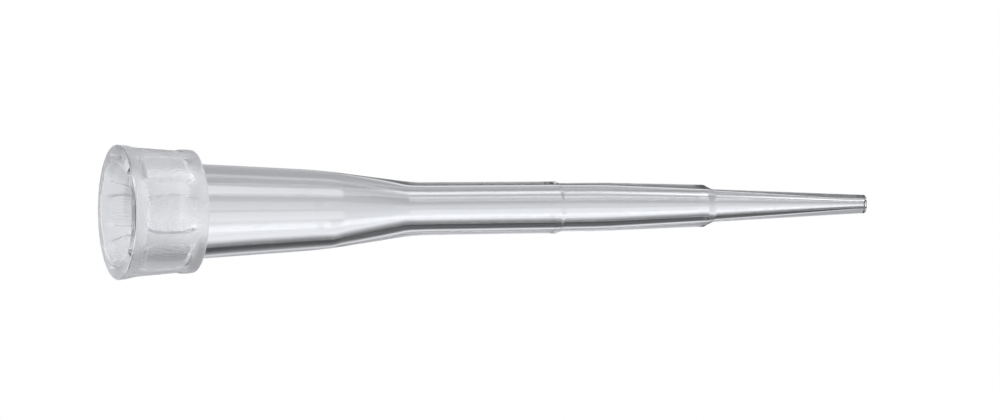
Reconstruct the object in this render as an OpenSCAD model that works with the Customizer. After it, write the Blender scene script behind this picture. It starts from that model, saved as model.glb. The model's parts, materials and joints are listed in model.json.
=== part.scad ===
// Micro pipette tip: one clear polypropylene moulding, open at both ends.
// A ribbed collar slips over the shaft of a pipette. Below it a tapered body
// holds the sample, and a funnel, a stepped barrel and a fine nozzle lead to
// the orifice. Millimetres. The axis is Z. The tip stands on its mouth, with
// the flat mouth face at z = 0 and the orifice at the top.

/* [Collar] */
// Outer diameter of the collar at the mouth face
collar_d = 5.82; // [5.5:0.02:6.4]
// Outer diameter of the collar at its back shoulder
collar_back_d = 5.28; // [4.8:0.02:5.7]
// Length of the collar, from the mouth face to the back shoulder
collar_len = 3.4; // [2.6:0.1:5]
// Radius round the back edge of the collar
collar_edge_r = 0.08; // [0.04:0.02:0.3]
// Width of the flat rim round the mouth
rim_w = 0.56; // [0.4:0.02:0.8]
// Radius on both edges of the rim
rim_edge_r = 0.06; // [0.02:0.01:0.12]

/* [Grip pockets] */
// Number of shallow pockets round the collar
pocket_count = 8; // [4:1:10]
// Width of a pocket across the collar
pocket_w = 1.65; // [0.7:0.05:1.8]
// Depth of a pocket below the surface of the collar
pocket_depth = 0.05; // [0.02:0.01:0.2]
// Corner radius of a pocket
pocket_corner_r = 0.45; // [0.1:0.05:0.7]
// Plain ring left between the mouth and the pockets
front_band = 0.42; // [0.2:0.02:0.8]
// Plain ring left between the pockets and the back shoulder
back_band = 0.46; // [0.3:0.02:0.8]

/* [Shaft seat] */
// Length of the cone that guides the shaft into the seat
lead_in_len = 0.9; // [0.4:0.05:1.4]
// Diameter of the parallel seat that grips the shaft
seat_d = 3.44; // [3:0.02:3.8]
// Length of the parallel seat
seat_len = 1.8; // [1:0.1:2.6]
// Length of the cone from the seat down to the bore of the body
seat_cone_len = 0.6; // [0.3:0.05:1.2]

/* [Body] */
// Outer diameter of the body where it leaves the collar
body_d = 4.12; // [3.6:0.02:4.6]
// Outer diameter of the body where the funnel starts
neck_d = 3.44; // [2.8:0.02:3.8]
// Length of the body, from the collar to the funnel
body_len = 5.75; // [4:0.05:8]
// Wall of the body at the collar
body_wall = 0.45; // [0.35:0.01:0.8]
// Wall at the neck, where the bore starts to narrow
neck_wall = 0.45; // [0.3:0.01:0.7]
// Radius of the bend from the body into the funnel
neck_bend_r = 18; // [4:1:30]

/* [Barrel] */
// Length of the funnel, from the body to the barrel
funnel_len = 4.15; // [3:0.05:6]
// How far past the neck the bore starts to narrow
bore_start = 0.55; // [0:0.05:1]
// How far before the barrel the bore stops narrowing
bore_stop = 0.25; // [0:0.05:1]
// Radius of the bends of the bore at both ends of the funnel
bore_bend_r = 3; // [1:0.5:8]
// Outer diameter of the barrel where the funnel ends
barrel_d = 2.32; // [2:0.02:2.6]
// Radius of the bend from the funnel into the barrel
barrel_bend_r = 8; // [2:0.5:16]
// Length of the barrel, from the funnel to the ring step
barrel_len = 6.5; // [5:0.1:9]
// Amount that the barrel narrows in diameter along its length
barrel_taper = 0.06; // [0:0.01:0.2]
// Wall of the barrel
barrel_wall = 0.48; // [0.35:0.01:0.7]

/* [Shank] */
// Height of the ring step between the barrel and the shank
ring_step_h = 0.07; // [0.02:0.01:0.15]
// Length of the parallel stretch behind the ring step
shank_plain_len = 2.1; // [1:0.1:4]
// Length of the tapered stretch of the shank
shank_taper_len = 4.65; // [3:0.05:7]
// Outer diameter at the end of the shank
shank_end_d = 1.84; // [1.5:0.02:2]
// Wall of the shank
shank_wall = 0.41; // [0.3:0.01:0.6]
// Radius round the end of the shank
shank_edge_r = 0.15; // [0.05:0.01:0.3]

/* [Nozzle] */
// Length of the shoulder between the shank and the nozzle
shoulder_len = 0.4; // [0.3:0.05:1]
// Outer diameter at the root of the nozzle
nozzle_d = 1.44; // [1.1:0.02:1.6]
// Wall at the root of the nozzle
nozzle_wall = 0.26; // [0.2:0.01:0.42]
// Length of the nozzle
nozzle_len = 7.05; // [5:0.05:10]
// Diameter of the orifice
orifice_d = 0.28; // [0.2:0.02:0.5]
// Length of the parallel end of the orifice
orifice_len = 0.5; // [0.2:0.05:1.5]
// Wall at the orifice
orifice_wall = 0.26; // [0.12:0.01:0.3]

/* [Hidden] */

// Facets of a full circle, and straight pieces in each rounded corner
$fn = 96;
corner_pieces = 6;
// Largest share of an edge that one rounded corner may take
edge_share = 0.48;

// Heights of the outside, from the mouth up to the orifice
neck_z = collar_len + body_len;
barrel_z = neck_z + funnel_len;
ring_step_z = barrel_z + barrel_len;
shank_plain_z = ring_step_z + shank_plain_len;
shank_end_z = shank_plain_z + shank_taper_len;
nozzle_z = shank_end_z + shoulder_len;
tip_z = nozzle_z + nozzle_len;

// Heights inside the mouth
seat_z = lead_in_len;
seat_end_z = seat_z + seat_len;
bore_z = seat_end_z + seat_cone_len;

// Outer radii that follow from the sizes above
barrel_end_r = (barrel_d - barrel_taper) / 2;
shank_r = barrel_end_r - ring_step_h;
tip_r = orifice_d / 2 + orifice_wall;

// One corner of the section: [radius from the axis, height, rounding]
function corner(r, z, rounding = 0) = [r, z, rounding];

// The section on one side of the axis: up the outside, and down the bore
section = [
    corner(collar_d / 2, 0, rim_edge_r),
    corner(collar_back_d / 2, collar_len, collar_edge_r),
    corner(body_d / 2, collar_len, rim_edge_r),
    corner(neck_d / 2, neck_z, neck_bend_r),
    corner(barrel_d / 2, barrel_z, barrel_bend_r),
    corner(barrel_end_r, ring_step_z, ring_step_h / 2),
    corner(shank_r, ring_step_z + ring_step_h / 2),
    corner(shank_r, shank_plain_z, neck_bend_r),
    corner(shank_end_d / 2, shank_end_z, shank_edge_r),
    corner(nozzle_d / 2, nozzle_z, shank_edge_r),
    corner(tip_r, tip_z, orifice_wall / 5),
    corner(orifice_d / 2, tip_z),
    corner(orifice_d / 2, tip_z - orifice_len),
    corner(nozzle_d / 2 - nozzle_wall, nozzle_z, nozzle_d),
    corner(shank_r - shank_wall, shank_plain_z, neck_bend_r),
    corner(barrel_d / 2 - barrel_wall, barrel_z - bore_stop, bore_bend_r),
    corner(neck_d / 2 - neck_wall, neck_z + bore_start, bore_bend_r),
    corner(body_d / 2 - body_wall, bore_z, seat_cone_len),
    corner(seat_d / 2, seat_end_z),
    corner(seat_d / 2, seat_z),
    corner(collar_d / 2 - rim_w, 0, rim_edge_r)
];

function unit(v) = v / norm(v);

// Points of an arc that rounds corner p between the corners a and b before and
// after it. The rounding is cut back where an edge is too short for it.
function rounded(a, p, b) =
    let (
        here = [p[0], p[1]],
        back = [a[0], a[1]] - here,
        on = [b[0], b[1]] - here,
        half_angle = acos(unit(back) * unit(on)) / 2,
        reach = min(p[2] / tan(half_angle), edge_share * min(norm(back), norm(on))),
        radius = reach * tan(half_angle),
        centre = here + unit(unit(back) + unit(on)) * radius / sin(half_angle),
        start = here + unit(back) * reach - centre,
        finish = here + unit(on) * reach - centre,
        turn = 180 - 2 * half_angle,
        way = start[0] * finish[1] - start[1] * finish[0] > 0 ? 1 : -1
    )
    [for (i = [0 : corner_pieces])
        let (angle = way * turn * i / corner_pieces)
        centre + [
            start[0] * cos(angle) - start[1] * sin(angle),
            start[0] * sin(angle) + start[1] * cos(angle)
        ]
    ];

last = len(section) - 1;
outline = [for (i = [0 : last])
    let (p = section[i])
    each p[2] > 0
        ? rounded(section[i == 0 ? last : i - 1], p, section[i == last ? 0 : i + 1])
        : [[p[0], p[1]]]
];

// Radius of the floor of the pockets at height z
function pocket_floor_r(z) =
    collar_d / 2 - pocket_depth + (collar_back_d - collar_d) / 2 * z / collar_len;

// Rectangle with round corners, centred, with its length along X
module rounded_rectangle(length, width, radius) {
    square([length - 2 * radius, width], center = true);
    square([length, width - 2 * radius], center = true);
    for (x = [-1, 1]) {
        for (y = [-1, 1]) {
            translate([x * (length / 2 - radius), y * (width / 2 - radius)])
                circle(r = radius);
        }
    }
}

// The space that the pockets take out of the collar: a conical ring, cut into
// one round-cornered patch for each pocket
module pockets() {
    pocket_len = collar_len - front_band - back_band;
    intersection() {
        rotate_extrude()
            polygon([
                [pocket_floor_r(0), 0],
                [collar_d, 0],
                [collar_d, collar_len],
                [pocket_floor_r(collar_len), collar_len]
            ]);
        for (i = [0 : pocket_count - 1]) {
            rotate([0, 0, i * 360 / pocket_count])
                translate([0, 0, front_band + pocket_len / 2])
                    rotate([0, 90, 0])
                        linear_extrude(height = collar_d)
                            rounded_rectangle(pocket_len, pocket_w, pocket_corner_r);
        }
    }
}

// The whole tip, one moulding
module tip() {
    color([0.86, 0.89, 0.91, 0.55])
        difference() {
            rotate_extrude()
                polygon(outline);
            pockets();
        }
}

tip();
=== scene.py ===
import json
import math

import bmesh
import bpy
from mathutils import Matrix, Vector


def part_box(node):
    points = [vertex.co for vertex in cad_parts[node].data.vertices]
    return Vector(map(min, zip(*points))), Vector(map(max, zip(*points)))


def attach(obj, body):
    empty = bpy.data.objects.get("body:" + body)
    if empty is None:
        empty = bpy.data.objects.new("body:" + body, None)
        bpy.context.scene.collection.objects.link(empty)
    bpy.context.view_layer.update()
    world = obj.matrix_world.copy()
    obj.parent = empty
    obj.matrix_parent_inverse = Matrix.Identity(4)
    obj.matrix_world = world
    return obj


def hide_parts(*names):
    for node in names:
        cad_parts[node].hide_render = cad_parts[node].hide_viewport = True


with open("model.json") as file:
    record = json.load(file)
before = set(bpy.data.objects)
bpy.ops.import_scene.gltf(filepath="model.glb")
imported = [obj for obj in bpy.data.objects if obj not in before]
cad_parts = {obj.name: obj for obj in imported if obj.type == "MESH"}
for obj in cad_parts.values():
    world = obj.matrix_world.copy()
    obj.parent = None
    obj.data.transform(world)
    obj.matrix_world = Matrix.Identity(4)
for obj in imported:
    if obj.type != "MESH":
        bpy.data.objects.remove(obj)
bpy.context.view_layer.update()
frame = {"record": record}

# The moulding is the whole tip: one shot of clear polypropylene round a polished
# core pin that leaves the bore. The skin of the collar comes from a spark-eroded
# mould, coarse on the rings and ribs and finer in the grip pockets between them.
MM = 0.001
ROUND_STEPS = 256             # segments round the axis
CORNER_STEPS = 8              # segments in a rounded corner
EDGE_SHARE = 0.48             # largest share of an edge that one rounded corner takes
BODY_GAP = 2 * MM             # longest stretch of outline between two rings of vertices
COLLAR_GAP = 0.04 * MM        # the same along the skin of the collar
SKIN = 0.01 * MM              # how far from the collar's cone a vertex counts as skin
WELD = 0.0005 * MM            # vertices closer than this become one

mounts = {mount["name"]: mount for mount in frame["record"]["mounts"]}
tip_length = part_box("tip")[1].z
seat_radius = mounts["shaft_seat"]["dims"]["r_mm"] * MM
seat_middle = mounts["shaft_seat"]["pos_m"][2]
seat_half = mounts["shaft_seat"]["dims"]["length_mm"] * MM / 2
orifice_radius = mounts["orifice"]["dims"]["r_mm"] * MM
orifice_length = mounts["orifice"]["dims"]["length_mm"] * MM

collar_length = mounts["collar_shoulder"]["pos_m"][2]
collar_radius = 2.91 * MM
collar_back_radius = 2.64 * MM
rim_width = 0.56 * MM
rim_edge = 0.06 * MM          # rounding of the rim, and of the foot of the body
shoulder_edge = 0.08 * MM     # rounding of the collar's back edge

body_radius = 2.06 * MM
neck_radius = 1.72 * MM
barrel_radius = 1.16 * MM
barrel_end_radius = 1.13 * MM
shank_radius = 1.06 * MM
shank_end_radius = 0.92 * MM
nozzle_radius = 0.72 * MM
body_wall = 0.45 * MM
barrel_wall = 0.48 * MM
shank_wall = 0.41 * MM
nozzle_wall = 0.26 * MM

neck_height = 9.15 * MM
barrel_height = 13.3 * MM
ring_step_height = 19.8 * MM
shank_height = 21.9 * MM
shoulder_height = 26.55 * MM
nozzle_height = 26.95 * MM
ring_step_length = 0.12 * MM
ring_step_edge = 0.2 * MM     # rounding of both edges of the ring step
shank_edge = 0.15 * MM        # rounding of the shoulder between shank and nozzle
seat_cone = 0.6 * MM          # length of the cone behind the seat
bore_start = 0.55 * MM        # how far past the neck the bore starts to narrow
bore_stop = 0.25 * MM         # how far before the barrel it stops
long_bend = 18 * MM           # bends of the body and the shank, and of the shank's bore
barrel_bend = 8 * MM          # bend from the funnel into the barrel
bore_bend = 3 * MM            # bends of the bore at both ends of the funnel
lead_in_bend = 0.4 * MM       # bend from the lead-in cone into the seat
seat_bend = 0.1 * MM          # bend from the seat into the cone behind it
nozzle_bend = 1.44 * MM       # bend from the bore of the shank into that of the nozzle
orifice_bend = 2 * MM         # bend from the bore of the nozzle into the orifice
nozzle_edge = nozzle_wall / 5
orifice_edge = 0.01 * MM

# Corners of the section, up the outside and down the bore: radius, height, rounding
outline = [
    (collar_radius, 0, rim_edge),
    (collar_back_radius, collar_length, shoulder_edge),
    (body_radius, collar_length, rim_edge),
    (neck_radius, neck_height, long_bend),
    (barrel_radius, barrel_height, barrel_bend),
    (barrel_end_radius, ring_step_height, ring_step_edge),
    (shank_radius, ring_step_height + ring_step_length, ring_step_edge),
    (shank_radius, shank_height, long_bend),
    (shank_end_radius, shoulder_height, shank_edge),
    (nozzle_radius, nozzle_height, shank_edge),
    (orifice_radius + nozzle_wall, tip_length, nozzle_edge),
    (orifice_radius, tip_length, orifice_edge),
    (orifice_radius, tip_length - orifice_length, orifice_bend),
    (nozzle_radius - nozzle_wall, nozzle_height, nozzle_bend),
    (shank_radius - shank_wall, shank_height, long_bend),
    (barrel_radius - barrel_wall, barrel_height - bore_stop, bore_bend),
    (neck_radius - body_wall, neck_height + bore_start, bore_bend),
    (body_radius - body_wall, seat_middle + seat_half + seat_cone, seat_cone),
    (seat_radius, seat_middle + seat_half, seat_bend),
    (seat_radius, seat_middle - seat_half, lead_in_bend),
    (collar_radius - rim_width, 0, rim_edge),
]

tip_bm = bmesh.new()
corners = [tip_bm.verts.new((radius, 0, height)) for radius, height, rounding in outline]
for here, there in zip(corners, corners[1:] + corners[:1]):
    tip_bm.edges.new((here, there))
for corner, (radius, height, rounding) in zip(corners, outline):
    arms = [edge.other_vert(corner).co - corner.co for edge in corner.link_edges]
    half_angle = arms[0].angle(arms[1]) / 2
    reach = min(rounding / math.tan(half_angle), EDGE_SHARE * min(arm.length for arm in arms))
    bmesh.ops.bevel(tip_bm, geom=[corner], offset=reach, offset_type="OFFSET",
                    segments=CORNER_STEPS, profile=0.5, affect="VERTICES", material=-1)
for edge in list(tip_bm.edges):
    middle = (edge.verts[0].co + edge.verts[1].co) / 2
    on_collar = middle.x > collar_back_radius - SKIN
    cuts = int(edge.calc_length() / (COLLAR_GAP if on_collar else BODY_GAP))
    if cuts:
        bmesh.ops.subdivide_edges(tip_bm, edges=[edge], cuts=cuts)
bmesh.ops.spin(tip_bm, geom=tip_bm.verts[:] + tip_bm.edges[:], cent=(0, 0, 0), axis=(0, 0, 1),
               angle=math.tau, steps=ROUND_STEPS, use_merge=True)
bmesh.ops.remove_doubles(tip_bm, verts=tip_bm.verts, dist=WELD)

# Shallow pockets round the collar, for grip
pocket_count = 8
pocket_half_width = 0.89 * MM
pocket_corner = 0.3 * MM      # rounding of a pocket's corners
end_ease = 0.25               # how steeply a pocket ends, beside its long sides
pocket_depth = 0.065 * MM
pocket_slope = 0.1 * MM       # width of the slope down to a pocket's floor
front_ring = 0.3 * MM         # plain ring between the mouth and the pockets
back_ring = 0.34 * MM         # plain ring between the pockets and the shoulder
pocket_pitch = math.tau / pocket_count
pocket_middle = (front_ring + collar_length - back_ring) / 2
pocket_half_length = (collar_length - back_ring - front_ring) / 2


def cone_radius(height):
    return collar_radius + (collar_back_radius - collar_radius) * height / collar_length


def on_collar_skin(vert):
    under_the_cone = cone_radius(vert.co.z) - math.hypot(vert.co.x, vert.co.y)
    return 0 < vert.co.z < collar_length and under_the_cone < SKIN


def is_level(edge):
    return abs(edge.verts[0].co.z - edge.verts[1].co.z) < 2 * WELD


# The skin gets twice the vertices round the axis, and those over a pocket sink
skin = {vert for vert in tip_bm.verts if on_collar_skin(vert)}
hoops = [edge for edge in tip_bm.edges if skin.issuperset(edge.verts) and is_level(edge)]
bmesh.ops.subdivide_edges(tip_bm, edges=hoops, cuts=1, use_grid_fill=True)
for vert in [vert for vert in tip_bm.verts if on_collar_skin(vert)]:
    radius = cone_radius(vert.co.z)
    angle = math.atan2(vert.co.y, vert.co.x)
    across = abs(angle - pocket_pitch * round(angle / pocket_pitch)) * radius
    along = abs(vert.co.z - pocket_middle) * end_ease
    past_side = across - pocket_half_width + pocket_corner
    past_end = along - pocket_half_length * end_ease + pocket_corner
    past_corner = math.hypot(max(past_side, 0), max(past_end, 0))
    inside = pocket_corner - past_corner - min(max(past_side, past_end), 0)
    sunk = min(max(inside / pocket_slope, 0), 1) ** 2
    shrink = 1 - pocket_depth * sunk / radius
    vert.co.x *= shrink
    vert.co.y *= shrink

bmesh.ops.recalc_face_normals(tip_bm, faces=tip_bm.faces)
for face in tip_bm.faces:
    face.smooth = True
tip_mesh = bpy.data.meshes.new("moulded_tip")
tip_bm.to_mesh(tip_mesh)
tip_bm.free()
moulded_tip = bpy.data.objects.new("moulded_tip", tip_mesh)
scene = bpy.context.scene
scene.collection.objects.link(moulded_tip)

# Clear plastic with a frosted skin on the collar, behind a polished rim
POLISH = 0.01                 # roughness away from the frost
FROST = 0.38                  # roughness of the rings and ribs of the collar
POCKET_FROST = 0.25           # roughness of the floors of the pockets
MILK = 0.19                   # share of the light that the frost scatters back
GRAINS = 9 / MM               # grains of the spark-eroded steel in a metre
GRAIN_DEPTH = 0.04 * MM
GRAIN_STRENGTH = 0.6
RIM_FADE = (rim_edge, 0.1 * MM)   # heights between which the polish turns to frost
SHOULDER_FADE = (collar_length + 0.01 * MM, collar_length + 0.05 * MM)  # and back again
SKIN_FADE = (0.07 * MM, 0.1 * MM)     # depths in the wall between which the frost ends
FLOOR_FADE = (0.008 * MM, 0.03 * MM)  # depths between the rings and the pocket floors
clear = bpy.data.materials.new("clear_polypropylene")
clear.use_nodes = True
nodes, links = clear.node_tree.nodes, clear.node_tree.links
shader = nodes["Principled BSDF"]
shader.inputs["Base Color"].default_value = (0.975, 0.98, 0.985, 1)
shader.inputs["IOR"].default_value = 1.49


def reckon(operation, *values):
    # One step of sums in the node tree in hand, on numbers and sockets
    node = nodes.new("ShaderNodeMath")
    node.operation = operation
    for socket, value in zip(node.inputs, values):
        if isinstance(value, (int, float)):
            socket.default_value = value
        else:
            links.new(value, socket)
    return node.outputs["Value"]


def fade(value, span, first, last):
    # From first to last while the value crosses the span
    node = nodes.new("ShaderNodeMapRange")
    node.interpolation_type = "SMOOTHSTEP"
    links.new(value, node.inputs["Value"])
    node.inputs["From Min"].default_value = span[0]
    node.inputs["From Max"].default_value = span[1]
    node.inputs["To Min"].default_value = first
    node.inputs["To Max"].default_value = last
    return node.outputs["Result"]


place = nodes.new("ShaderNodeTexCoord").outputs["Object"]
along_axes = nodes.new("ShaderNodeSeparateXYZ")
links.new(place, along_axes.inputs["Vector"])
height = along_axes.outputs["Z"]
from_axis = reckon("SQRT", reckon("ADD", reckon("POWER", along_axes.outputs["X"], 2.0),
                                  reckon("POWER", along_axes.outputs["Y"], 2.0)))
cone_slope = (collar_back_radius - collar_radius) / collar_length
cone_surface = reckon("MULTIPLY_ADD", height, cone_slope, collar_radius)
depth = reckon("SUBTRACT", cone_surface, from_axis)
past_rim = fade(height, RIM_FADE, 0, 1)
before_shoulder = fade(height, SHOULDER_FADE, 1, 0)
at_surface = fade(depth, SKIN_FADE, 1, 0)
frosted = reckon("MULTIPLY", reckon("MULTIPLY", past_rim, before_shoulder), at_surface)
roughness = fade(depth, FLOOR_FADE, FROST, POCKET_FROST)
links.new(reckon("MULTIPLY_ADD", frosted, roughness, POLISH), shader.inputs["Roughness"])
links.new(reckon("MULTIPLY_ADD", frosted, -MILK, 1.0), shader.inputs["Transmission Weight"])

grain = nodes.new("ShaderNodeTexNoise")
grain.inputs["Scale"].default_value = GRAINS
grain.inputs["Detail"].default_value = 3
relief = nodes.new("ShaderNodeBump")
relief.inputs["Distance"].default_value = GRAIN_DEPTH
links.new(place, grain.inputs["Vector"])
links.new(grain.outputs["Fac"], relief.inputs["Height"])
links.new(reckon("MULTIPLY", frosted, GRAIN_STRENGTH), relief.inputs["Strength"])
links.new(relief.outputs["Normal"], shader.inputs["Normal"])
tip_mesh.materials.append(clear)

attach(moulded_tip, "root")
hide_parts("tip")

# The bench top is a pale matt board that the tip stands on by its rim. Only an eye
# above it sees the paint, and the light of the studio comes up through the board.
BENCH_REACH = 4               # metres from the middle to each side
BENCH_DROP = 0.02 * MM        # play under the rim
bench_bm = bmesh.new()
bmesh.ops.create_grid(bench_bm, x_segments=1, y_segments=1, size=BENCH_REACH)
bmesh.ops.translate(bench_bm, verts=bench_bm.verts, vec=(0, 0, -BENCH_DROP))
bench_mesh = bpy.data.meshes.new("bench_top")
bench_bm.to_mesh(bench_mesh)
bench_bm.free()
bench = bpy.data.objects.new("bench_top", bench_mesh)
scene.collection.objects.link(bench)
paint = bpy.data.materials.new("matt_white_paint")
paint.use_nodes = True
nodes, links = paint.node_tree.nodes, paint.node_tree.links
matt = nodes["Principled BSDF"]
matt.inputs["Base Color"].default_value = (0.85, 0.85, 0.85, 1)
matt.inputs["Roughness"].default_value = 0.9
facing = nodes.new("ShaderNodeNewGeometry")
bench_ray = nodes.new("ShaderNodeLightPath")
painted_side = nodes.new("ShaderNodeMath")
painted_side.operation = "SUBTRACT"
painted_side.use_clamp = True
see_through = nodes.new("ShaderNodeBsdfTransparent")
one_way = nodes.new("ShaderNodeMixShader")
links.new(bench_ray.outputs["Is Camera Ray"], painted_side.inputs[0])
links.new(facing.outputs["Backfacing"], painted_side.inputs[1])
links.new(painted_side.outputs["Value"], one_way.inputs["Fac"])
links.new(see_through.outputs["BSDF"], one_way.inputs[1])
links.new(matt.outputs["BSDF"], one_way.inputs[2])
links.new(one_way.outputs["Shader"], nodes["Material Output"].inputs["Surface"])
bench_mesh.materials.append(paint)

# The studio's walls are a ring of white reflectors and black flags, so that the
# clear plastic gets its dark edges and bright streaks. Above is a pale ceiling, below
# a table lit from underneath, but for its middle. The eye sees plain white behind.
WALLS = [  # degrees to the left of straight behind the tip, and brightness there
    (-180, 0.55), (-151, 0.55), (-144, 0.03), (-137, 0.03), (-131, 0.45), (-81, 0.45), (-75, 0.06),
    (-38, 0.08), (-26, 0.3), (-21, 0.55), (-16, 0.9), (-11, 0.84), (-4, 0.74), (1, 0.55), (8, 0.41),
    (30, 0.38), (50, 0.4), (60, 0.6), (68, 0.75), (84, 0.75), (88, 0.05), (96, 0.05), (99, 0.8),
    (150, 0.8), (165, 0.6), (180, 0.55),
]
LID_AND_BASE = [  # sine of the height over the horizon, brightness, and cover over the walls
    (-1, 0.75, 1), (-0.92, 0.75, 1), (-0.85, 2, 1), (-0.6, 2, 1), (-0.45, 1.6, 0),
    (0.6, 1.15, 0), (0.75, 1.15, 1), (0.88, 1.15, 1), (0.93, 0.6, 1), (1, 0.6, 1),
]
STUDIO_TINT = (0.99, 1.0, 1.035)
world = bpy.data.worlds.new("studio")
scene.world = world
world.use_nodes = True
nodes, links = world.node_tree.nodes, world.node_tree.links
studio_light = nodes["Background"]


def add_ramp(value, first, last, stops):
    ramp = nodes.new("ShaderNodeValToRGB")
    share = reckon("MULTIPLY_ADD", value, 1 / (last - first), -first / (last - first))
    links.new(share, ramp.inputs["Fac"])
    elements = ramp.color_ramp.elements
    for stop in stops[1:-1]:
        elements.new((stop[0] - first) / (last - first))
    for element, (position, brightness, cover) in zip(elements, stops):
        element.position = (position - first) / (last - first)
        element.color = [brightness * tint for tint in STUDIO_TINT] + [cover]
    return ramp.outputs


direction = nodes.new("ShaderNodeTexCoord")
parts = nodes.new("ShaderNodeSeparateXYZ")
links.new(direction.outputs["Generated"], parts.inputs["Vector"])
leftward = reckon("MULTIPLY", parts.outputs["X"], -1.0)
bearing = reckon("DEGREES", reckon("ARCTAN2", leftward, parts.outputs["Y"]))
ring = add_ramp(bearing, -180, 180, [(angle, brightness, 1) for angle, brightness in WALLS])
lid_and_base = add_ramp(parts.outputs["Z"], -1, 1, LID_AND_BASE)
joined = nodes.new("ShaderNodeMix")
joined.data_type = "RGBA"
links.new(lid_and_base["Alpha"], joined.inputs["Factor"])
links.new(ring["Color"], joined.inputs["A"])
links.new(lid_and_base["Color"], joined.inputs["B"])
links.new(joined.outputs["Result"], studio_light.inputs["Color"])
white_backdrop = nodes.new("ShaderNodeBackground")
white_backdrop.inputs["Color"].default_value = (1, 1, 1, 1)
world_ray = nodes.new("ShaderNodeLightPath")
backdrop_or_studio = nodes.new("ShaderNodeMixShader")
links.new(world_ray.outputs["Is Camera Ray"], backdrop_or_studio.inputs["Fac"])
links.new(studio_light.outputs["Background"], backdrop_or_studio.inputs[1])
links.new(white_backdrop.outputs["Background"], backdrop_or_studio.inputs[2])
links.new(backdrop_or_studio.outputs["Shader"], nodes["World Output"].inputs["Surface"])

# The lamps are three tall softboxes on stands, a metre from the axis of the tip. Each
# is given by how far round the tip it stands, how wide it is and how bright it is.
SOFTBOX_HEIGHT = 0.6
STAND_HEIGHT = 0.33           # from the bench to the middle of a softbox


def add_softbox(name, angle, width, brightness):
    # The angle is in degrees to the left of straight behind the tip
    light = bpy.data.lights.new(name, "AREA")
    light.shape = "RECTANGLE"
    light.size = width
    light.size_y = SOFTBOX_HEIGHT
    light.energy = brightness * math.pi * width * SOFTBOX_HEIGHT  # watts, for its whole face
    softbox = bpy.data.objects.new(name, light)
    bearing = math.radians(angle)
    outwards = Vector((-math.sin(bearing), math.cos(bearing), 0))
    softbox.location = outwards + Vector((0, 0, STAND_HEIGHT))
    softbox.rotation_euler = (-outwards).to_track_quat("-Z", "Y").to_euler()
    softbox.visible_camera = False
    scene.collection.objects.link(softbox)


add_softbox("key_softbox", 116, 0.57, 3.2)
add_softbox("strip_softbox", 77.5, 0.23, 0.9)
add_softbox("fill_softbox", -165, 0.48, 1.1)

# The camera lies on its side in front of the tip, below the level of the bench top,
# and looks up into the mouth, which shows on the left, with the orifice on the right.
look_up = math.radians(17.75)
turn = math.radians(2.1)
tilt = math.radians(0.64)
distance = 0.6
view_width = 43.3 * MM
aim = Vector((0.083 * MM, 0, 17.29 * MM))
forward = Vector((math.sin(turn) * math.cos(look_up), math.cos(turn) * math.cos(look_up), math.sin(look_up)))
right = (Vector((0, 0, 1)) - forward * forward.z).normalized()
right = Matrix.Rotation(tilt, 3, forward) @ right
up = right.cross(forward)
camera_data = bpy.data.cameras.new("camera")
camera_data.sensor_width = 36
camera_data.lens = camera_data.sensor_width * distance / view_width
camera = bpy.data.objects.new("camera", camera_data)
turned_camera = Matrix((right, up, -forward)).transposed().to_4x4()
camera.matrix_world = Matrix.Translation(aim - forward * distance) @ turned_camera
scene.collection.objects.link(camera)
scene.camera = camera
scene.view_settings.view_transform = "Standard"
